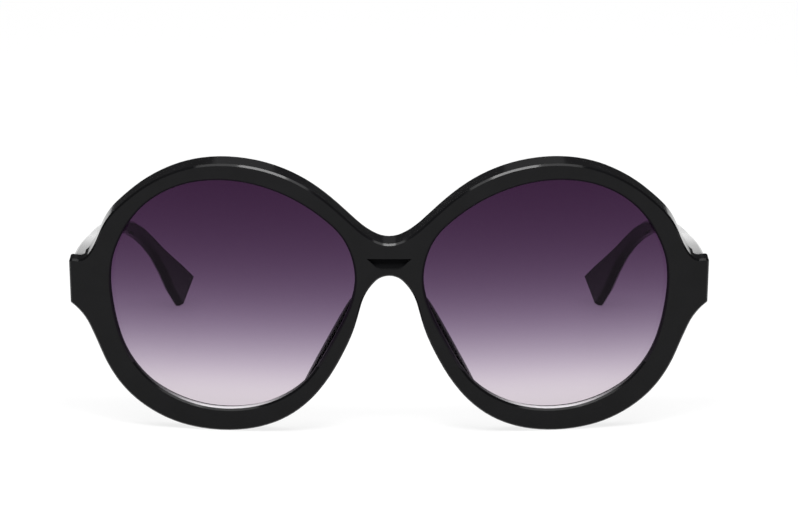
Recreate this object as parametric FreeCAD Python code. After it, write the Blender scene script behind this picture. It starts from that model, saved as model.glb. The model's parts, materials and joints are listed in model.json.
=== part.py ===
import FreeCAD, Part
import math
import os

# Oversized round sunglasses that stand open on a table, on the rims and the temple tips.
# X runs to the wearer's left, Y to the back and Z up, in millimetres and degrees.
# The front is drawn upright, bent round a vertical axis, and then leans forward.

# Lenses and bridge, measured on the upright front
lens_width = 57.0         # clear opening, from the nose side to the temple side
lens_height = 57.2        # clear opening, from bottom to top
bridge_width = 15.6       # between the two clear openings
bridge_level = 0.745      # top of the bridge, as a share of the lens height
bridge_depth = 7.9        # height of the bridge in the middle
saddle_span = 5.7         # half width of the hollow on top of the bridge
saddle_rise = 2.4         # height of that hollow at its sides
arch_span = 5.0           # half width of the nose arch near its top
arch_fall = 3.7           # that place, below the arch's top
leg_span = 7.6            # half width of the nose arch at its legs
leg_fall = 11.5           # that place, below the arch's top

# The opening's outline, from its upper nose side round by the temple: the share of the lens
# width, the share of the lens height, and the width of the rim there
opening_shape = [
    (0.086, 0.812, 3.7),
    (0.265, 0.938, 4.2),
    (0.480, 0.998, 4.0),
    (0.704, 0.966, 3.6),
    (0.888, 0.831, 3.8),
    (0.947, 0.736, 4.7),
    (0.988, 0.627, 5.4),
    (0.989, 0.401, 8.1),
    (0.924, 0.197, 6.1),
    (0.762, 0.048, 6.1),
    (0.550, 0.000, 5.5),
    (0.345, 0.042, 5.0),
    (0.185, 0.161, 3.7),
    (0.098, 0.312, 3.5),
]
nose_side = (0.001, 0.575)   # the opening's side next to the nose, where the bridge joins

# The front's body
front_thickness = 5.4
front_radius = 260.0      # radius that the front bends round
front_tilt = 10.0         # lean of the front, top forward
front_bevel = 0.4         # bevel of the edges on the front side
outline_fit = 0.1         # how far the arcs of an outline may lie from its smooth curve

# The wedge recess in the middle of the bridge
recess_width = 10.3       # along its straight top edge
recess_foot = 4.7         # along its lower edge
recess_height = 2.7
recess_depth = 1.5        # at the top edge, running out to nothing at the lower edge
recess_drop = 3.6         # its top edge, below the top of the bridge

# Lenses, held in a groove that goes round each opening
lens_thickness = 2.0
lens_inset = 1.7          # from the front of the rim to the lens
groove_depth = 1.5
lens_clearance = 0.05
back_step = 0.9           # the opening behind the lens is larger all round by this
back_bevel = 0.6          # and opens out by as much again at its back

# End pieces, which carry the hinges
end_length = 4.3          # beyond the rim's side
end_height = 11.3
end_level = 0.51          # middle of the end piece, as a share of the lens height
end_thickness = 3.2       # at its top edge, in front of the block that holds the hinge
end_flat = 1.4            # level stretch of its top edge
end_corner = 0.8          # rounding of its upper corner
end_foot = 0.5            # rounding of its lower corner
end_fall = 35.0           # slope of its lower edge
lug_wall = 0.5            # between the lens groove and the block behind the end piece
joint_depth = 7.6         # from the end piece's front, in its middle, to the joint

# Hinges: five knuckles on an upright axis
knuckle_radius = 1.2
knuckle_height = 1.5
knuckle_gap = 0.08        # between neighbouring knuckles
swing_gap = 0.2           # between a knuckle and the piece that swings past it
leaf_thickness = 0.9
leaf_margin = 0.3         # leaf above and below the knuckles
front_leaf_width = 3.0
stake_width = 1.1         # the two square stakes that sink into the end piece
stake_length = 2.4
temple_leaf_length = 13.0
screw_radius = 0.6
screw_fit = 0.03          # running clearance in the temple's knuckles
thread_fit = 0.01         # in the front's knuckles
screw_head_radius = 1.05
screw_head_height = 0.6

# Screws that hold the temple's leaf
leaf_screw_radius = 0.5
leaf_screw_head = 0.9
leaf_screw_head_height = 0.35
leaf_screw_length = 2.2
leaf_screw_fit = 0.01
leaf_screw_places = [(4.5, 2.6), (10.0, -2.9)]   # behind the leaf's front end, above its middle

# Temples
temple_gap = 0.15         # between the end piece and the temple's end
temple_inset = 0.3        # the temple's outer face, in from the end piece's tip
temple_thickness = 3.6
temple_tip_thickness = 2.7
temple_length = 134.5     # from the joint to the tip
temple_straight = 54.0    # flat stretch behind the hinge
temple_height = 9.2       # at the hinge
temple_bevel = 0.7        # bevel along the temple, at the hinge
tip_bevel = 0.9           # the same at the tip
tip_edge = 0.7            # bevel round the tip's end
temple_bow = 17.2         # how far the tip has come in towards the head
bow_power = 1.55          # how late along the temple it comes in
temple_stations = 16      # sections that its run is made of
# Run of the temple's top edge and lower edge: for each the share of the length, and the share
# of the drop from the hinge to the table
temple_edges = [
    (0.13, -0.114, 0.13, 0.150),
    (0.26, -0.070, 0.26, 0.155),
    (0.42, -0.008, 0.42, 0.145),
    (0.58, 0.065, 0.58, 0.163),
    (0.71, 0.212, 0.71, 0.328),
    (0.83, 0.452, 0.83, 0.630),
    (0.93, 0.650, 0.89, 0.866),
    (0.995, 0.792, 0.928, 0.985),
]

# Wire inside each temple
wire_height = 1.6
wire_thickness = 1.1
wire_clearance = 0.05
wire_start = 0.3          # behind the temple's end
wire_stations = 12        # sections of the temple that it runs through

# Nose pads, cemented on the back of the rims
pad_height = 22.0
pad_place = 0.4           # its middle, from the rim's last point but one to its last
pad_width = 2.6
pad_depth = 6.0           # behind the rim
pad_flare = 0.8           # the pad's back lies this far out from the nose
pad_back_height = 17.0
pad_back_width = 2.2
pad_bevel = 0.7           # bevel along the pad, and at its back

# Worked-out places on the upright front
V = FreeCAD.Vector
rim_bottom = opening_shape[10][2]
opening_top = rim_bottom + lens_height
opening_nose = bridge_width / 2
opening_side = opening_nose + lens_width
saddle = rim_bottom + bridge_level * lens_height
arch = saddle - bridge_depth
end_tip = opening_side + opening_shape[6][2] + end_length
end_middle = rim_bottom + end_level * lens_height
lug_side = opening_side + groove_depth + lug_wall
reach = front_radius / 4      # deeper than the bent front


def sag(x):
    """How far the bent front lies behind its middle at a distance x from the nose."""
    return front_radius - math.sqrt(front_radius ** 2 - x ** 2)


# Worked-out places of the hinge, with the front leaned forward
lean = math.radians(front_tilt)
joint_level = sag((lug_side + end_tip) / 2) + joint_depth
joint_y = joint_level * math.cos(lean) - end_middle * math.sin(lean)
hinge_z = (joint_level - front_thickness / 2) * math.sin(lean) + end_middle * math.cos(lean)
temple_outer = end_tip - temple_inset
temple_inner = temple_outer - temple_thickness
axis_x = temple_inner - swing_gap - knuckle_radius
axis_y = joint_y + swing_gap + knuckle_radius
knuckle_pitch = knuckle_height + knuckle_gap
stack_height = 5 * knuckle_height + 4 * knuckle_gap
stack_low = hinge_z - stack_height / 2
leaf_height = stack_height + 2 * leaf_margin
temple_y = joint_y + temple_gap


def spline(points, start=None, finish=None, closed=False):
    """A smooth curve through points, open or closed, with set directions at its ends."""
    curve = Part.BSplineCurve()
    if closed:
        curve.interpolate(Points=points, PeriodicFlag=True)
        return curve
    ways = [start or V()] + [V()] * (len(points) - 2) + [finish or V()]
    curve.interpolate(Points=points, Tangents=ways, TangentFlags=[w.Length > 0 for w in ways],
                      Scale=False)
    return curve


def arcs(curve):
    """A run of arcs close to a smooth curve, each meeting the next without a corner."""
    return curve.toBiArcs(outline_fit)


def line(a, b):
    """A straight edge from a to b."""
    return Part.LineSegment(a, b)


def arc(x, z, radius, start, finish):
    """An arc on the upright front, round the centre x, z, between two angles in degrees."""
    turns = [math.radians(t) for t in (start, (start + finish) / 2, finish)]
    return Part.Arc(*[V(x + radius * math.cos(t), 0, z + radius * math.sin(t)) for t in turns])


def face_of(curves):
    """The flat face inside a closed run of curves."""
    return Part.Face(Part.Wire([c.toShape() for c in curves]))


def box(x, y, z):
    """A block between the pairs of limits x, y and z."""
    return Part.makeBox(x[1] - x[0], y[1] - y[0], z[1] - z[0], V(x[0], y[0], z[0]))


def upright_pin(x, y, low, high, radius):
    """A round bar with an upright axis."""
    return Part.makeCylinder(radius, high - low, V(x, y, low))


def through(face):
    """A face on the upright front's plane, pushed through the whole depth of the front."""
    return face.translated(V(0, -front_thickness, 0)).extrude(V(0, reach, 0))


def barrel(depth):
    """The cylinder that the front bends round, at a depth behind its front face."""
    return upright_pin(0, front_radius, -opening_top, 2 * opening_top, front_radius - depth)


def layer(front, back):
    """The bent sheet between two depths behind the front face."""
    return barrel(front).cut(barrel(back))


def bevelled(shape, depth, size):
    """Bevel the edges of a shape that lie on the bent surface at a depth."""
    def lies(edge):
        first, last = edge.ParameterRange
        points = [edge.valueAt(first + (last - first) * k / 4) for k in range(5)]
        off = [math.hypot(p.x, p.y - front_radius) - front_radius + depth for p in points]
        return max(abs(d) for d in off) < 0.005
    return shape.makeChamfer(size, [edge for edge in shape.Edges if lies(edge)])


def mirrored(shape):
    """The same piece on the other side of the nose."""
    return shape.mirror(V(), V(1, 0, 0))


def tilted(shape):
    """A piece of the upright front, leaned forward."""
    return shape.rotated(V(), V(1, 0, 0), front_tilt)


def moved_out(distances):
    """The points of the left opening, each moved square to its outline by its own distance."""
    shares = [row[:2] for row in opening_shape] + [nose_side]
    points = [V(opening_nose + a * lens_width, 0, rim_bottom + b * lens_height) for a, b in shares]
    curve = spline(points, closed=True)
    middle = V(opening_nose + lens_width / 2, 0, rim_bottom + lens_height / 2)
    moved = []
    for point, distance in zip(points, distances):
        way = curve.tangent(curve.parameter(point))[0].cross(V(0, 1, 0)).normalize()
        outward = way if way.dot(point - middle) > 0 else way * -1
        moved.append(point + outward * distance)
    return moved


def opening_face(offset):
    """The left opening, made larger all round by an offset."""
    return face_of(arcs(spline(moved_out([offset] * (len(opening_shape) + 1)), closed=True)))


def front_outline():
    """The front's outer outline, pushed through its depth: rims, bridge and end pieces."""
    rim = moved_out([row[2] for row in opening_shape] + [0])[:-1]
    top = end_middle + end_height / 2
    low = end_middle - end_height / 2
    corner = arc(end_tip - end_corner, top - end_corner, end_corner, 90, 0)
    foot = arc(end_tip - end_foot, low + end_foot, end_foot, 0, end_fall - 90)
    shoulder = corner.StartPoint - V(end_flat, 0, 0)
    fall = math.radians(end_fall)
    down = V(-math.cos(fall), 0, -math.sin(fall))

    over = [V(0, 0, saddle), V(saddle_span, 0, saddle + saddle_rise)] + rim[:7] + [shoulder]
    under = [foot.EndPoint] + rim[7:]
    under += [V(leg_span, 0, arch - leg_fall), V(arch_span, 0, arch - arch_fall), V(0, 0, arch)]
    half = arcs(spline(over, V(1, 0, 0), V(1, 0, 0)))
    half += [line(shoulder, corner.StartPoint), corner, line(corner.EndPoint, foot.StartPoint), foot]
    half += arcs(spline(under, down, V(-1, 0, 0)))
    edges = [c.toShape() for c in half]
    edges += [mirrored(e).Edges[0] for e in reversed(edges)]
    return through(Part.Face(Part.Wire(edges)))


def recess():
    """The wedge that is cut from the bridge's front, deepest along its top edge."""
    top = saddle - recess_drop
    low = top - recess_height
    wide, narrow = recess_width / 2, recess_foot / 2
    shape = Part.makePolygon([V(-wide, 0, top), V(wide, 0, top), V(narrow, 0, low),
                              V(-narrow, 0, low), V(-wide, 0, top)])
    slope = recess_height / recess_depth
    wedge = Part.makePolygon([V(-wide, recess_depth, top), V(-wide, -1, top),
                              V(-wide, -1, low - slope), V(-wide, recess_depth, top)])
    return through(Part.Face(shape)).common(Part.Face(wedge).extrude(V(2 * wide, 0, 0)))


def front_frame():
    """The front: bent sheet, lens openings and grooves, bridge recess, and end pieces."""
    outline = front_outline()
    sheet = outline.common(layer(0, front_thickness))
    opening = through(opening_face(0))
    sheet = sheet.cut([opening, mirrored(opening)]).Solids[0]
    sheet = bevelled(sheet, 0, front_bevel)

    groove_back = lens_inset + lens_thickness + 2 * lens_clearance
    groove = through(opening_face(groove_depth)).common(layer(lens_inset, groove_back))
    flare = through(opening_face(back_step + back_bevel)).common(barrel(groove_back))
    flare = bevelled(flare, groove_back, back_bevel)
    sheet = sheet.cut([groove, mirrored(groove), flare, mirrored(flare), recess()])

    relief = end_relief()
    front = tilted(sheet).cut([relief, mirrored(relief)]).fuse([end_block(), mirrored(end_block())])
    pocket = front_leaf_solid(knuckles=False)
    return front.cut([pocket, mirrored(pocket)]).removeSplitter()


def end_block():
    """The block behind the left end piece, in line with the temple, that holds the hinge."""
    half = temple_height / 2
    depth = joint_depth + end_height
    block = box((lug_side, temple_outer), (joint_y - depth, joint_y), (hinge_z - half, hinge_z + half))
    edges = [e for e in block.Edges if abs(e.Length - depth) < 0.01 and e.CenterOfMass.x > axis_x]
    return block.makeChamfer(temple_bevel, edges).common(tilted(barrel(front_thickness / 2)))


def end_relief():
    """What is cut from the back of the left end piece, above the block that holds the hinge."""
    start = end_tip - end_corner - 2 * end_flat
    top = hinge_z + temple_height / 2
    space = box((start, end_tip + end_length), (joint_y - reach, joint_y), (top, top + end_height))
    return space.common(tilted(barrel(end_thickness)))


def lens():
    """The left lens, bent like the front and seated in the groove."""
    front = lens_inset + lens_clearance
    edge = groove_depth - lens_clearance
    return tilted(through(opening_face(edge)).common(layer(front, front + lens_thickness)))


def nose_pad():
    """The left nose pad: a tapering pad behind the rim's nose side, flared away from the nose."""
    flat = back_step + back_bevel
    upper, lower = moved_out([(flat + row[2]) / 2 for row in opening_shape] + [0])[-2:-4:-1]
    middle = upper * pad_place + lower * (1 - pad_place)
    along = (upper - lower).normalize()
    out = V(along.z, 0, -along.x)
    root = sag(middle.x) + front_thickness

    def section(depth, share, inset=0):
        height = pad_height + (pad_back_height - pad_height) * share - 2 * inset
        width = pad_width + (pad_back_width - pad_width) * share - 2 * inset
        centre = middle + out * pad_flare * share + V(0, root + depth, 0)
        wide = out * (width / 2)
        tall = along * (height / 2)
        corners = [centre + tall + wide, centre + tall - wide, centre - tall - wide, centre - tall + wide]
        return bevelled_section(corners, pad_bevel - inset / 2)
    sections = [section(-1, 0), section(pad_depth - pad_bevel, 0.9)]
    sections.append(section(pad_depth, 1, pad_bevel / 2))
    return tilted(Part.makeLoft(sections, True, True).common(barrel(front_thickness)))


def knuckle(level):
    """One knuckle of the hinge, counted from below."""
    low = stack_low + level * knuckle_pitch
    return upright_pin(axis_x, axis_y, low, low + knuckle_height, knuckle_radius), low


def front_leaf_solid(knuckles):
    """The hinge leaf on the front: plate and stakes, with its three knuckles or without."""
    half = front_leaf_width / 2
    plate = box((axis_x - half, axis_x + half), (joint_y - leaf_thickness, joint_y),
                (hinge_z - leaf_height / 2, hinge_z + leaf_height / 2))
    pieces = []
    for side in (-1, 1):
        level = hinge_z + side * leaf_height / 4
        pieces.append(box((axis_x - stake_width / 2, axis_x + stake_width / 2),
                          (joint_y - leaf_thickness - stake_length, joint_y - leaf_thickness),
                          (level - stake_width / 2, level + stake_width / 2)))
    if not knuckles:
        return plate.fuse(pieces)
    for level in (0, 2, 4):
        barrel_, low = knuckle(level)
        web = box((axis_x - knuckle_radius, axis_x + knuckle_radius), (joint_y, axis_y),
                  (low, low + knuckle_height))
        pieces += [barrel_, web]
    leaf = plate.fuse(pieces)
    hole = upright_pin(axis_x, axis_y, stack_low - 1, stack_low + stack_height + 1,
                       screw_radius + thread_fit)
    return leaf.cut(hole).removeSplitter()


def temple_leaf_plate():
    """The plate of the hinge leaf on the temple, flush with the temple's inner face."""
    return box((temple_inner, temple_inner + leaf_thickness), (temple_y, temple_y + temple_leaf_length),
               (hinge_z - leaf_height / 2, hinge_z + leaf_height / 2))


def leaf_screw(place, fit=0):
    """One screw of the temple's leaf, or the hole for it when it has a fit."""
    y, z = temple_y + place[0], hinge_z + place[1]
    way = V(1, 0, 0)
    head = Part.makeCylinder(leaf_screw_head + fit, leaf_screw_head_height, V(temple_inner, y, z), way)
    shank = Part.makeCylinder(leaf_screw_radius + fit, leaf_screw_length + fit, V(temple_inner, y, z), way)
    return head.fuse(shank).removeSplitter()


def temple_leaf():
    """The hinge leaf on the temple: plate, two knuckles and two screw holes."""
    pieces = []
    for level in (1, 3):
        barrel_, low = knuckle(level)
        web = box((axis_x, temple_inner), (axis_y - knuckle_radius, axis_y + knuckle_radius),
                  (low, low + knuckle_height))
        pieces += [barrel_, web]
    leaf = temple_leaf_plate().fuse(pieces)
    hole = upright_pin(axis_x, axis_y, stack_low - 1, stack_low + stack_height + 1,
                       screw_radius + screw_fit)
    holes = [leaf_screw(place, leaf_screw_fit) for place in leaf_screw_places]
    return leaf.cut([hole] + holes).removeSplitter()


def hinge_screw():
    """The screw that is the hinge's pin, with its head on the top knuckle."""
    top = stack_low + stack_height
    shank = upright_pin(axis_x, axis_y, stack_low, top, screw_radius)
    head = upright_pin(axis_x, axis_y, top, top + screw_head_height, screw_head_radius)
    return shank.fuse(head).removeSplitter()


def bevelled_section(corners, size):
    """A closed outline through four corners, each taken off by a size, or sharp without one."""
    points = []
    for k in range(4):
        corner = corners[k]
        back = (corners[k - 1] - corner).normalize() * size
        ahead = (corners[(k + 1) % 4] - corner).normalize() * size
        points += [corner + back, corner + ahead] if size else [corner]
    return Part.makePolygon(points + points[:1])


def temple_place(share, level, drop):
    """A point on the temple's outer face: a share of its length, a share of the drop."""
    straight = temple_straight / temple_length
    bow = temple_bow * (max(0, share - straight) / (1 - straight)) ** bow_power
    return V(temple_outer - bow, temple_y + share * temple_length, hinge_z - drop * level)


def temple_sections(drop):
    """The temple's four corners at each station: top outside and inside, then below."""
    half = temple_height / 2 / drop
    rows = [(0, -half, 0, half)] + temple_edges
    curves = [spline([temple_place(row[k], row[k + 1], drop) for row in rows]) for k in (0, 2)]
    sections = []
    for station in range(temple_stations + 1):
        share = station / temple_stations
        across = V(temple_thickness + (temple_tip_thickness - temple_thickness) * share, 0, 0)
        a, d = [c.value(c.FirstParameter + (c.LastParameter - c.FirstParameter) * share) for c in curves]
        sections.append([a, a - across, d - across, d])
    return sections


def temple_body(drop):
    """The left temple without pockets: tapered, bent down behind the ear and bowed in."""
    outlines = []
    for station, corners in enumerate(temple_sections(drop)):
        size = temple_bevel + (tip_bevel - temple_bevel) * station / temple_stations
        outlines.append(bevelled_section(corners, size))
    tall = (corners[3] - corners[0]).normalize() * tip_edge
    wide = V(-tip_edge, 0, 0)
    out = tall.cross(wide).normalize() * tip_edge
    ends = [tall + wide, tall - wide, -tall - wide, wide - tall]
    ends = [corner + end + out for corner, end in zip(corners, ends)]
    outlines.append(bevelled_section(ends, tip_bevel - tip_edge))
    return Part.makeLoft(outlines, True, True)


def wire_bar(drop, start, clearance):
    """A square bar in the middle of the left temple, made larger all round by a clearance."""
    tall = V(0, 0, wire_height / 2 + clearance)
    wide = V(wire_thickness / 2 + clearance, 0, 0)
    outlines = []
    for a, b, c, d in temple_sections(drop)[:wire_stations]:
        middle = (a + b + c + d) / 4
        if not outlines:
            middle.y += start
        outlines.append(bevelled_section([middle + tall + wide, middle + tall - wide,
                                         middle - tall - wide, middle - tall + wide], 0))
    return Part.makeLoft(outlines, True, True)


def temple(drop):
    """The left temple, with pockets for the hinge leaf, its screws and the wire."""
    holes = [leaf_screw(place, leaf_screw_fit) for place in leaf_screw_places]
    channel = wire_bar(drop, 0, wire_clearance)
    return temple_body(drop).cut([temple_leaf_plate(), channel] + holes).removeSplitter()


def core_wire(drop):
    """The wire in the middle of the left temple."""
    return wire_bar(drop, wire_start, 0)


def exact_box(shapes):
    """The tight bounding box round some shapes."""
    return Part.makeCompound(shapes).optimalBoundingBox(False, False)


def temple_drop(front):
    """The drop that brings the temple's rounded tip down to the table that the rims stand on."""
    table = exact_box([front]).ZMin
    drop = hinge_z - table
    return drop + exact_box([temple_body(drop)]).ZMin - table


front = front_frame()
drop = temple_drop(front)
left = {
    "lens": lens(),
    "nose_pad": nose_pad(),
    "front_hinge_leaf": front_leaf_solid(knuckles=True),
    "hinge_screw": hinge_screw(),
    "temple": temple(drop),
    "temple_hinge_leaf": temple_leaf(),
    "leaf_screws": Part.makeCompound([leaf_screw(place) for place in leaf_screw_places]),
    "core_wire": core_wire(drop),
}
nodes = {"front_frame": front}
for name, shape in left.items():
    nodes["left_" + name] = shape
    nodes["right_" + name] = mirrored(shape)

# The origin is under the middle of the standing glasses, on the table.
limits = exact_box(list(nodes.values()))
shift = V(0, -(limits.YMin + limits.YMax) / 2, -limits.ZMin)
os.makedirs("parts", exist_ok=True)
for name, shape in nodes.items():
    shape.translated(shift).exportStep("parts/" + name + ".step")
print("overall size", [round(v, 2) for v in (limits.XLength, limits.YLength, limits.ZLength)])
print("hinge axis", [round(v, 3) for v in V(axis_x, axis_y, hinge_z) + shift])
print("joint", round(joint_y + shift.y, 3), "tilt origin", [round(v, 3) for v in shift])
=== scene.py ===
# %% [markdown]
# Oversized sunglasses, open on a white table.
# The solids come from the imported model, and they are already in the right place, in metres:
# X runs to the wearer's left, Y to the back and Z up. This lesson gives them their finishes,
# smooth curves, rounded nose pads, slotted screws and light.

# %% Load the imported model
import bpy
import bmesh
import json
import math
from mathutils import Matrix, Vector

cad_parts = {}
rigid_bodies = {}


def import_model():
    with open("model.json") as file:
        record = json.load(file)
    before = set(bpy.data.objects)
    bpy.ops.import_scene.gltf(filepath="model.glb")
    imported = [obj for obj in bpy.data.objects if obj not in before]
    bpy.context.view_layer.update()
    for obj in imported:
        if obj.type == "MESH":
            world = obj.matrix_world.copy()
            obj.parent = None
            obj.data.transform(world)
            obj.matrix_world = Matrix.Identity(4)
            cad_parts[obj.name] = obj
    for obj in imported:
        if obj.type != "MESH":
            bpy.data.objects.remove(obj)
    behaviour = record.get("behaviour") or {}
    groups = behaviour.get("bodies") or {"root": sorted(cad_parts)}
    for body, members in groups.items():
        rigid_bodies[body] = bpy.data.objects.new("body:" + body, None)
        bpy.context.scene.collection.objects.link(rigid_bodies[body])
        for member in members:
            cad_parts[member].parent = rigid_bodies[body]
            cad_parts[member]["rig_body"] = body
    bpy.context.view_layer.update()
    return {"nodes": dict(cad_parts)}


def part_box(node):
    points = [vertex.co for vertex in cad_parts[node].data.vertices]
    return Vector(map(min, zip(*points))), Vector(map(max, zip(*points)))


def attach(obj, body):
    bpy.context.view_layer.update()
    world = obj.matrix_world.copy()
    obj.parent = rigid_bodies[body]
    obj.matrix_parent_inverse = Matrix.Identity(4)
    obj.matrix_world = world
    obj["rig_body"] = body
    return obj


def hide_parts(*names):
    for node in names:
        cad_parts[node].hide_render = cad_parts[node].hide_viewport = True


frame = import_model()
nodes = frame["nodes"]
MM = 0.001
LEFT_RIGHT = {"left": 1, "right": -1}

# %% [markdown]
# A finish is a small network of shader nodes. Wiring it by hand takes many lines, so one class
# stands for a value that flows between nodes. Python's own operators then add the Math nodes,
# and 1 / (1 + share) reads as it does on paper. One method adds any other kind of node.

# %% Write shader maths as Python expressions
class Flow:
    """One output of a node in a finish."""

    def __init__(self, finish, socket):
        self.finish = finish
        self.socket = socket

    def maths(self, operation, first, second):
        return self.finish.node("ShaderNodeMath", {"operation": operation}, {0: first, 1: second})

    def __add__(self, other):
        return self.maths("ADD", self, other)

    def __sub__(self, other):
        return self.maths("SUBTRACT", self, other)

    def __rsub__(self, other):
        return self.maths("SUBTRACT", other, self)

    def __mul__(self, other):
        return self.maths("MULTIPLY", self, other)

    def __truediv__(self, other):
        return self.maths("DIVIDE", self, other)

    def __rtruediv__(self, other):
        return self.maths("DIVIDE", other, self)

    def __pow__(self, other):
        return self.maths("POWER", self, other)

    __radd__ = __add__
    __rmul__ = __mul__


class Finish:
    """A material that is built up node by node."""

    def __init__(self, name):
        self.material = bpy.data.materials.new(name)
        self.material.use_nodes = True
        self.tree = self.material.node_tree
        self.tree.nodes.clear()

    def node(self, kind, settings=None, sockets=None, out=0):
        node = self.tree.nodes.new(kind)
        for name, value in (settings or {}).items():
            setattr(node, name, value)
        for name, value in (sockets or {}).items():
            if isinstance(value, Flow):
                self.tree.links.new(value.socket, node.inputs[name])
            else:
                node.inputs[name].default_value = value
        return Flow(self, node.outputs[out])

    def place(self):
        """The place of each point, fixed to the piece."""
        return self.node("ShaderNodeTexCoord", out="Object")

    def noise(self, scale, detail=2.0, stretch=(1, 1, 1)):
        """A cloudy value from 0 to 1 that is fixed to the piece."""
        where = self.node("ShaderNodeMapping", None, {"Vector": self.place(), "Scale": stretch})
        return self.node("ShaderNodeTexNoise", None,
                         {"Vector": where, "Scale": scale, "Detail": detail})

    def blend(self, share, first, second):
        """A colour between two colours."""
        return self.node("ShaderNodeMix", {"data_type": "RGBA"},
                         {0: share, 6: first, 7: second}, out=2)

    def bump(self, height, strength, distance):
        return self.node("ShaderNodeBump", None,
                         {"Height": height, "Strength": strength, "Distance": distance})

    def mixed(self, share, first, second):
        """One shader laid over another by a share."""
        return self.node("ShaderNodeMixShader", None, {0: share, 1: first, 2: second})

    def show(self, surface):
        output = self.tree.nodes.new("ShaderNodeOutputMaterial")
        self.tree.links.new(surface.socket, output.inputs["Surface"])
        return self.material


print("shader helpers ready")

# %% [markdown]
# The frame is polished black acetate. It is almost black all through, so what is seen is
# mostly its shine. Real polish is never even: it has slow clouds of duller and brighter shine,
# and hair-fine wiping marks. Both are noise, the marks being noise that is stretched one way.

# %% Black acetate
def black_acetate(name, dullness, ripple):
    f = Finish(name)
    clouds = f.noise(160.0, 3.0)
    marks = f.noise(2400.0, 2.0, (0.06, 1.0, 1.0))
    colour = f.blend(clouds, (0.0028, 0.0028, 0.0030, 1), (0.0052, 0.0052, 0.0058, 1))
    roughness = dullness + clouds * 0.05 + marks * 0.04
    waves = f.bump(clouds + marks * 0.15, ripple, 0.2 * MM)
    return f.show(f.node("ShaderNodeBsdfPrincipled", None, {
        "Base Color": colour, "Roughness": roughness, "Normal": waves,
        "IOR": 1.5, "Specular IOR Level": 0.117}))


frame_black = black_acetate("polished_black_acetate", 0.07, 0.028)
pad_black = black_acetate("tumbled_black_acetate", 0.26, 0.012)
print("made", frame_black.name, pad_black.name)

# %% [markdown]
# The lenses are violet-grey at the top and fade to almost clear at the bottom. Light crosses
# two faces of a lens, so each face passes the square root of the tint. Three tints are mixed by
# two short formulas on the height: one turns the dark top into a cooler violet, and one brings in
# the pale foot. A thin mirror lies over them, by the Fresnel node, because the shine of a clear
# sheet has to be added to what is seen through it.

# %% Gradient lenses
DARK_TOP = (0.113, 0.027, 0.113, 1)
COOL_VIOLET = (0.313, 0.228, 0.393, 1)
PALE_FOOT = (0.824, 0.782, 0.815, 1)
lens_low, lens_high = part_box("left_lens")


def lens_share(f):
    """The height in a lens, from 0 at its bottom to 1 at its top."""
    height = f.node("ShaderNodeSeparateXYZ", None, {0: f.place()}, out=2)
    return (height - lens_low.z) / (lens_high.z - lens_low.z)


def fading(share, half_way, steepness):
    """A value that falls from 1 at the bottom, and is a half at one height."""
    return 1 / (1 + (share / half_way) ** steepness)


def gradient_lens(name):
    f = Finish(name)
    share = lens_share(f)
    dark, cool, pale = [f.node("ShaderNodeBsdfTransparent", None, {"Color": tint})
                        for tint in (DARK_TOP, COOL_VIOLET, PALE_FOOT)]
    upper = f.mixed(fading(share, 0.427, 2.19), dark, cool)
    tint = f.mixed(fading(share, 0.307, 2.32), upper, pale)
    haze = f.noise(90.0, 2.0)
    gloss = f.node("ShaderNodeBsdfPrincipled", None, {
        "Base Color": (0.95, 0.90, 0.97, 1), "Roughness": 0.02 + haze * 0.02, "Metallic": 1.0})
    shine = f.node("ShaderNodeFresnel", None, {"IOR": 1.17})
    return f.show(f.mixed(shine, tint, gloss))


lens_tint = gradient_lens("gradient_lens")
print("lens fades over", round((lens_high.z - lens_low.z) / MM, 1), "mm")

# %% [markdown]
# Hinges, screws and the wires in the temples are steel. Brushed steel has fine grooves that
# run one way, so its noise is stretched strongly, and it drives both the shine and the bump.

# %% Brushed steel
def brushed_steel(name):
    f = Finish(name)
    grain = f.noise(9000.0, 3.0, (1.0, 1.0, 0.05))
    colour = f.blend(grain, (0.42, 0.42, 0.43, 1), (0.62, 0.62, 0.63, 1))
    return f.show(f.node("ShaderNodeBsdfPrincipled", None, {
        "Base Color": colour, "Roughness": 0.22 + grain * 0.16, "Metallic": 1.0,
        "Normal": f.bump(grain, 0.08, 0.05 * MM)}))


steel = brushed_steel("brushed_steel")
print("made", steel.name)

# %% [markdown]
# Every new piece ends in the same way: its mesh is written, it gets a finish, it rides on the body
# of a solid, and it may be shown in place of that solid. One function does this for all of them.
# Two smaller ones, which write a mesh and put an object into the scene, also serve the table, the
# lamps and the camera.

# %% One way to add a piece
def written(name, work):
    """A mesh with everything that was made in a work mesh."""
    mesh = bpy.data.meshes.new(name)
    work.to_mesh(mesh)
    work.free()
    return mesh


def in_scene(name, data):
    """A new object in the scene for a mesh, a lamp or a camera."""
    thing = bpy.data.objects.new(name, data)
    bpy.context.scene.collection.objects.link(thing)
    return thing


def add_piece(name, work, node, finish, instead=True):
    mesh = written(name, work)
    mesh.materials.append(finish)
    piece = in_scene(name, mesh)
    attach(piece, nodes[node]["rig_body"])
    if instead:
        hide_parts(node)
    print(name, len(mesh.polygons), "faces")
    return piece


print("piece helpers ready")

# %% [markdown]
# Each solid arrives as loose triangles, so its curved walls would look faceted. A Weighted Normal
# modifier could even them out, but on long thin triangles it shows as zigzags in the shine. Here a
# copy is merged into one skin instead, and shaded smooth over every edge that turns less than a
# bevel does. The curves then look like curves, the bevels stay crisp, and the copy is shown in
# place of the solid.

# %% Soft copies of the acetate pieces
MERGE_GAP = 0.000002
BEVEL_TURN = math.radians(30)


def merged_copy(node):
    """A work mesh of a solid whose triangles share their corners."""
    work = bmesh.new()
    work.from_mesh(nodes[node].data)
    bmesh.ops.remove_doubles(work, verts=work.verts, dist=MERGE_GAP)
    return work


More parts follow.
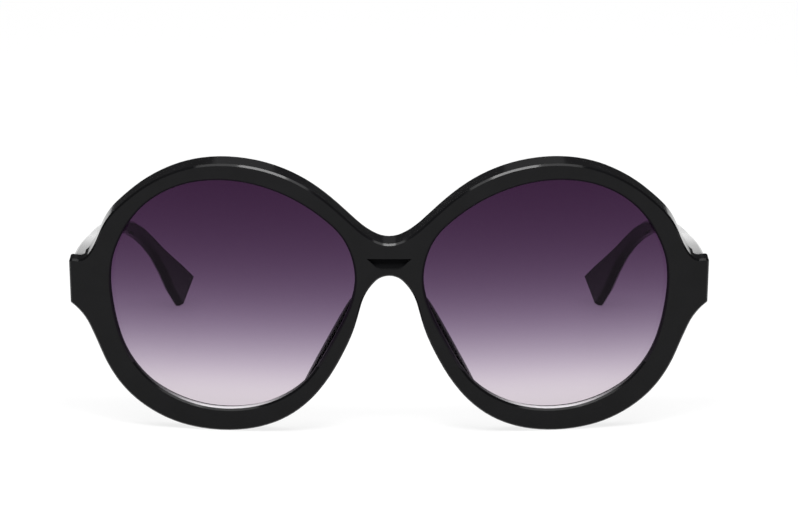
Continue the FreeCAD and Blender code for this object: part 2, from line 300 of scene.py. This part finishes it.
def shade_smooth(work, sharp_turn):
    """Smooth shading over all edges that turn less than an angle."""
    for face in work.faces:
        face.smooth = True
    for edge in work.edges:
        edge.smooth = edge.is_manifold and edge.calc_face_angle(0) < sharp_turn


def soft_copy(node, name):
    work = merged_copy(node)
    for face in work.faces:
        face.material_index = 0
    shade_smooth(work, BEVEL_TURN)
    piece = add_piece(name, work, node, frame_black)
    if "custom_normal" in piece.data.attributes:
        piece.data.attributes.remove(piece.data.attributes["custom_normal"])


soft_copy("front_frame", "front_shell")
for side in LEFT_RIGHT:
    soft_copy(side + "_temple", side + "_temple_shell")

# %% [markdown]
# The front is a sheet that bends round the face and leans forward. A place on it is easy to give
# as a distance from the nose, a height along the sheet and a depth behind its front face. Two
# short functions change between those and places in the scene.

# %% Places on the bent front
LEAN = math.radians(10)
BEND = 260.0
FOOT = Vector((0, -67.533, -0.562))


def on_front(x, up, depth):
    """The place in the scene of a point of the front that is given in millimetres."""
    y = BEND - math.sqrt((BEND - depth) ** 2 - x ** 2)
    lean = Matrix.Rotation(LEAN, 3, "X")
    return (FOOT + lean @ Vector((x, y, up))) * MM


def front_depth(place):
    """How far a place in the scene lies behind the front's face, in millimetres."""
    flat = Matrix.Rotation(-LEAN, 3, "X") @ (place / MM - FOOT)
    return BEND - math.hypot(flat.x, BEND - flat.y)


print("a point 2 mm behind the face is read back at", round(front_depth(on_front(20, 30, 2)), 3))

# %% [markdown]
# A nose pad is a long soft ridge on the back of the rim, beside the nose. One way would be to
# bevel a box. Here one ring is drawn and its face is extruded along the pad instead, because each
# new ring can then get its own height, and the ends run out smoothly.

# %% Nose pads
PAD_TOP, PAD_FOOT = (8.58, 32.78), (22.03, 6.43)
PAD_ROOT, PAD_DEPTH = 5.3, 6.1
PAD_HALF_WIDTH = 1.35
PAD_LEAN = 0.3
END_WIDTH = 0.35
ACROSS_PAD = (0.885, 0.466)
RING_STEPS, PAD_STEPS = 16, 28
END_STEP = 0.4
ROUNDNESS = 0.6


def pad_ring(share, hand):
    """The outline across a pad at a share of its length, from the lens round to the nose."""
    swell = (1 - abs(2 * share - 1) ** 3.4) ** 0.55
    half_width = PAD_HALF_WIDTH * (END_WIDTH + (1 - END_WIDTH) * swell)
    x = PAD_FOOT[0] + (PAD_TOP[0] - PAD_FOOT[0]) * share
    up = PAD_FOOT[1] + (PAD_TOP[1] - PAD_FOOT[1]) * share
    ring = []
    for k in range(RING_STEPS + 1):
        turn = math.pi * k / RING_STEPS
        rise = math.sin(turn) ** ROUNDNESS
        across = abs(math.cos(turn)) ** ROUNDNESS * (1 if k < RING_STEPS / 2 else -1)
        out = (across - 1) * half_width + PAD_LEAN * rise - PAD_LEAN
        ring.append(on_front(hand * (x + ACROSS_PAD[0] * out), up + ACROSS_PAD[1] * out,
                             PAD_ROOT + PAD_DEPTH * swell * rise))
    return ring


def nose_pad(side):
    hand = LEFT_RIGHT[side]
    turns = [math.pi * (k + END_STEP) / (PAD_STEPS + 2 * END_STEP) for k in range(PAD_STEPS + 1)]
    stations = [0.5 - 0.5 * math.cos(turn) for turn in turns]
    work = bmesh.new()
    face = work.faces.new([work.verts.new(place) for place in pad_ring(stations[0], hand)])
    for share in stations[1:]:
        face = bmesh.ops.extrude_discrete_faces(work, faces=[face])["faces"][0]
        for vert, place in zip(face.verts, pad_ring(share, hand)):
            vert.co = place
    bmesh.ops.holes_fill(work, edges=work.edges)
    bmesh.ops.recalc_face_normals(work, faces=work.faces)
    for face in work.faces:
        face.smooth = True
    add_piece(side + "_nose_pad_shell", work, side + "_nose_pad", pad_black)


for side in LEFT_RIGHT:
    nose_pad(side)

# %% [markdown]
# A lens is ground at its edge, and that edge shows as a thin strip on the lip in front of the
# groove.
# Its colour is painted by height: pale at the very bottom, the frosted edge's own colour where it
# faces the light, and dark violet above, which is painted shade. It could be drawn as a new ring,
# but a copy of the rim's own inner wall fits without any measuring. The copy is moved out a hair and
# made solid. Above the bottom it also covers the bevel of the lip, and there its dark violet is a
# painted reflection of the dark lens.

# %% Ground edges of the lenses
LIP_BACK = 1.8
WALL_FRONT, BEVEL_FRONT = 0.3, -0.1
BOTTOM_SHARE = 0.2
FACING_IN = 0.4
EDGE_LIFT, EDGE_THICKNESS = 0.06, 0.04


def edge_colour_with_painted_shade(name):
    f = Finish(name)
    share = lens_share(f)
    grain = f.noise(6000.0, 2.0)
    # Pale only at the very bottom; above it the colour is painted shade, and on the lip's bevel a
    # painted reflection of the dark lens.
    colour = f.blend(fading(share, 0.05, 3), (0.0030, 0.0014, 0.0040, 1), (0.62, 0.60, 0.62, 1))
    return f.show(f.node("ShaderNodeBsdfPrincipled", None, {
        "Base Color": colour, "Roughness": 0.3 + grain * 0.2, "Specular IOR Level": 0.06,
        "Normal": f.bump(grain, 0.2, 0.05 * MM)}))


def lens_edge(side, finish):
    low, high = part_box(side + "_lens")
    middle = (low + high) / 2
    bottom = low.z + BOTTOM_SHARE * (high.z - low.z)
    work = merged_copy("front_frame")
    other = []
    for face in work.faces:
        centre = face.calc_center_median()
        depths = [front_depth(v.co) for v in face.verts]
        inward = face.normal.dot((middle - centre).normalized()) > FACING_IN
        # Above the bottom the strip also covers the lip's bevel, where it carries a painted
        # reflection of the lens.
        lip_front = WALL_FRONT if centre.z < bottom else BEVEL_FRONT
        on_lip = max(depths) < LIP_BACK and min(depths) > lip_front
        if not (inward and on_lip and centre.x * LEFT_RIGHT[side] > 0):
            other.append(face)
    bmesh.ops.delete(work, geom=other, context="FACES")
    work.normal_update()
    for vert in work.verts:
        vert.co += vert.normal * EDGE_LIFT * MM
    bmesh.ops.solidify(work, geom=list(work.faces), thickness=EDGE_THICKNESS * MM)
    add_piece(side + "_lens_edge", work, "front_frame", finish, instead=False)


edge_with_painted_shade = edge_colour_with_painted_shade("lens_edge_painted_shade_and_reflection")
for side in LEFT_RIGHT:
    lens_edge(side, edge_with_painted_shade)

# %% [markdown]
# The lenses, hinge leaves and core wires keep their own solids and only get a finish. A packed
# solid has one material slot, so its material is simply exchanged.

# %% Finishes of the solids that stay
for name, node in nodes.items():
    node.data.materials.clear()
    node.data.materials.append(lens_tint if name.endswith("lens") else steel)
print("dressed", len(nodes), "solids")

# %% [markdown]
# A screw head needs its slot, which is too small for the solid model. A cone with equal ends is
# a cylinder. A small bevel rounds the head's rim, its top face is inset, two cuts split off a
# strip in the middle, and that strip is pushed down. The sizes of these steps are shares of the
# head's radius, and the slot's depth is a share of its height.

# %% Slotted screws
RIM_ROUNDING = 0.12
TOP_BORDER = 0.06
SLOT_HALF_WIDTH = 0.14
SLOT_DEPTH = 0.55
MID_STRIP = 0.05
SCREW_TURN = math.radians(40)


def cylinder(work, segments, radius, top, bottom):
    """Add a closed cylinder on the Z axis between two heights."""
    bmesh.ops.create_cone(work, cap_ends=True, segments=segments, radius1=radius, radius2=radius,
                          depth=top - bottom, matrix=Matrix.Translation((0, 0, (top + bottom) / 2)))


def cut_across(work, face, offset):
    """Split one face along a line at an offset from the middle."""
    parts = [face] + list(face.edges) + list(face.verts)
    bmesh.ops.bisect_plane(work, geom=parts, plane_co=(0, offset, 0), plane_no=(0, 1, 0))


def top_rank(face):
    """Sorts faces by height, and faces at one height by area."""
    return round(face.calc_center_median().z, 7), face.calc_area()


def in_slot(face, head):
    """Whether a face is the strip between the two cuts."""
    centre = face.calc_center_median()
    flat_on_top = face.normal.z > 0.9 and centre.z > -1e-6
    return flat_on_top and abs(centre.y) < head * MID_STRIP and len(face.verts) > 4


def slotted_screw(work, at, way, head, shank, head_height, length):
    """Add a screw whose head's top is at a point, with its shank against the way."""
    new = bmesh.new()
    cylinder(new, 40, head, 0, -head_height)
    rim = [e for e in new.edges if all(abs(v.co.z) < 1e-7 for v in e.verts)]
    bmesh.ops.bevel(new, geom=rim, offset=head * RIM_ROUNDING, affect="EDGES", segments=3,
                    profile=0.5, material=-1)
    top = max(new.faces, key=lambda face: face.calc_center_median().z)
    bmesh.ops.inset_individual(new, faces=[top], thickness=head * TOP_BORDER)
    for offset in (-head * SLOT_HALF_WIDTH, head * SLOT_HALF_WIDTH):
        cut_across(new, max(new.faces, key=top_rank), offset)
    strips = [face for face in new.faces if in_slot(face, head)]
    slot = bmesh.ops.extrude_discrete_faces(new, faces=strips)["faces"]
    bmesh.ops.translate(new, vec=(0, 0, -head_height * SLOT_DEPTH),
                        verts=list({v for face in slot for v in face.verts}))
    cylinder(new, 32, shank, -head_height, -length)
    turn = Vector((0, 0, 1)).rotation_difference(Vector(way)).to_matrix().to_4x4()
    bmesh.ops.transform(new, matrix=Matrix.Translation(at) @ turn, verts=new.verts)
    mesh = written("screw_work", new)
    work.from_mesh(mesh)
    bpy.data.meshes.remove(mesh)


def screw_piece(name, work, node):
    shade_smooth(work, SCREW_TURN)
    add_piece(name, work, node, steel)


def hinge_screw(side):
    node = side + "_hinge_screw"
    low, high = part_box(node)
    middle = (low + high) / 2
    work = bmesh.new()
    slotted_screw(work, (middle.x, middle.y, high.z), (0, 0, 1), head=(high.x - low.x) / 2,
                  shank=0.6 * MM, head_height=0.6 * MM, length=high.z - low.z)
    screw_piece(side + "_hinge_screw_slotted", work, node)


def leaf_screws(side):
    node = side + "_leaf_screws"
    low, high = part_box(node)
    hand = LEFT_RIGHT[side]
    head = 0.9 * MM
    inner = low.x if hand > 0 else high.x
    work = bmesh.new()
    for y, z in ((low.y + head, high.z - head), (high.y - head, low.z + head)):
        slotted_screw(work, (inner, y, z), (-hand, 0, 0), head=head,
                      shank=0.5 * MM, head_height=0.35 * MM, length=high.x - low.x)
    screw_piece(side + "_leaf_screws_slotted", work, node)


for side in LEFT_RIGHT:
    hinge_screw(side)
    leaf_screws(side)

# %% [markdown]
# The table is a wide white disc. The camera looks down on it, so no horizon is seen. Its finish
# is partly its own light, so that it stays white, and partly plain white paint, which keeps the
# soft shadow under the frame.

# %% Table
GLOW_SHARE = 0.82
TABLE_RADIUS = 8.0


def white_table(name):
    f = Finish(name)
    paint = f.node("ShaderNodeBsdfDiffuse", None, {"Color": (0.86, 0.86, 0.86, 1)})
    glow = f.node("ShaderNodeEmission", None, {"Color": (1, 1, 1, 1), "Strength": 1.0})
    seen, *others = [f.node("ShaderNodeLightPath", out=out)
                     for out in ("Is Camera Ray", "Is Glossy Ray", "Is Transmission Ray")]
    for ray in others:
        seen = seen.maths("MAXIMUM", seen, ray)
    return f.show(f.mixed(seen * GLOW_SHARE, paint, glow))


work = bmesh.new()
bmesh.ops.create_circle(work, cap_ends=True, segments=96, radius=TABLE_RADIUS)
table = in_scene("table", written("table", work))
table.data.materials.append(white_table("white_table"))
print("table", len(table.data.polygons), "faces")

# %% [markdown]
# Black gloss shows what it mirrors, so the lamps are placed by angles. The two soft boxes in front
# are what the bevels of the top edges mirror, as a thin bright line. The low strip behind is what
# the tops of the temples mirror, and the high one is for the tops of the rims and the bridge. The
# large box above lights the table. The sky stays very dim, because the slopes of the rims mirror it.

# %% Lamps and sky
SKY_STRENGTH = 0.045


def soft_box(name, at, aim, wide, tall, watts):
    lamp = bpy.data.lights.new(name, "AREA")
    lamp.shape = "RECTANGLE"
    lamp.size = wide
    lamp.size_y = tall
    lamp.energy = watts
    holder = in_scene(name, lamp)
    holder.location = at
    holder.rotation_euler = (Vector(aim) - Vector(at)).to_track_quat("-Z", "Y").to_euler()
    holder.visible_camera = False


soft_box("key_soft_box", (0, -0.19, 0.245), (0, -0.08, 0.05), wide=0.12, tall=0.06, watts=0.5)
soft_box("front_soft_box", (0, -0.72, 1.03), (0, -0.07, 0.03), wide=1.6, tall=0.35, watts=9.0)
soft_box("low_back_strip", (0, 1.5, 0.22), (0, 0, 0.03), wide=0.85, tall=0.40, watts=1.8)
soft_box("high_back_strip", (0, 1.30, 0.95), (0, -0.07, 0.06), wide=0.50, tall=0.40, watts=0.10)
soft_box("top_soft_box", (0, 0.3, 2.2), (0, 0.3, 0), wide=2.6, tall=2.6, watts=65.0)

sky = bpy.data.worlds.new("studio_sky")
sky.use_nodes = True
background = sky.node_tree.nodes["Background"].inputs
background["Color"].default_value = (1, 1, 1, 1)
background["Strength"].default_value = SKY_STRENGTH
bpy.context.scene.world = sky
bpy.context.scene.view_settings.view_transform = "Standard"

# %% [markdown]
# The photograph was taken from in front and a little above, from some way off. The camera looks
# a little past the middle of the front, which puts the object where it is in the picture. That
# shift is given in pixels and changed into metres at the object.

# %% Camera
PICTURE_WIDTH = 798
PICTURE_SHIFT = (9.8, 37.9)
CAMERA_DISTANCE = 0.70
CAMERA_RISE = math.radians(12.5)
LENS_MM = 137.0
SENSOR_MM = 36.0
target = Vector((0, -0.072, 0.0333))
pixels_per_metre = LENS_MM / SENSOR_MM * PICTURE_WIDTH / CAMERA_DISTANCE
aim = target + Vector((PICTURE_SHIFT[0] / pixels_per_metre, 0, PICTURE_SHIFT[1] / pixels_per_metre))
camera_data = bpy.data.cameras.new("camera")
camera_data.lens = LENS_MM
camera_data.sensor_width = SENSOR_MM
camera_data.clip_start = 0.01
camera = in_scene("camera", camera_data)
back = Vector((0, -math.cos(CAMERA_RISE), math.sin(CAMERA_RISE)))
camera.location = target + back * CAMERA_DISTANCE
camera.rotation_euler = (aim - camera.location).to_track_quat("-Z", "Y").to_euler()
bpy.context.scene.camera = camera
print("camera", [round(v, 3) for v in camera.location])
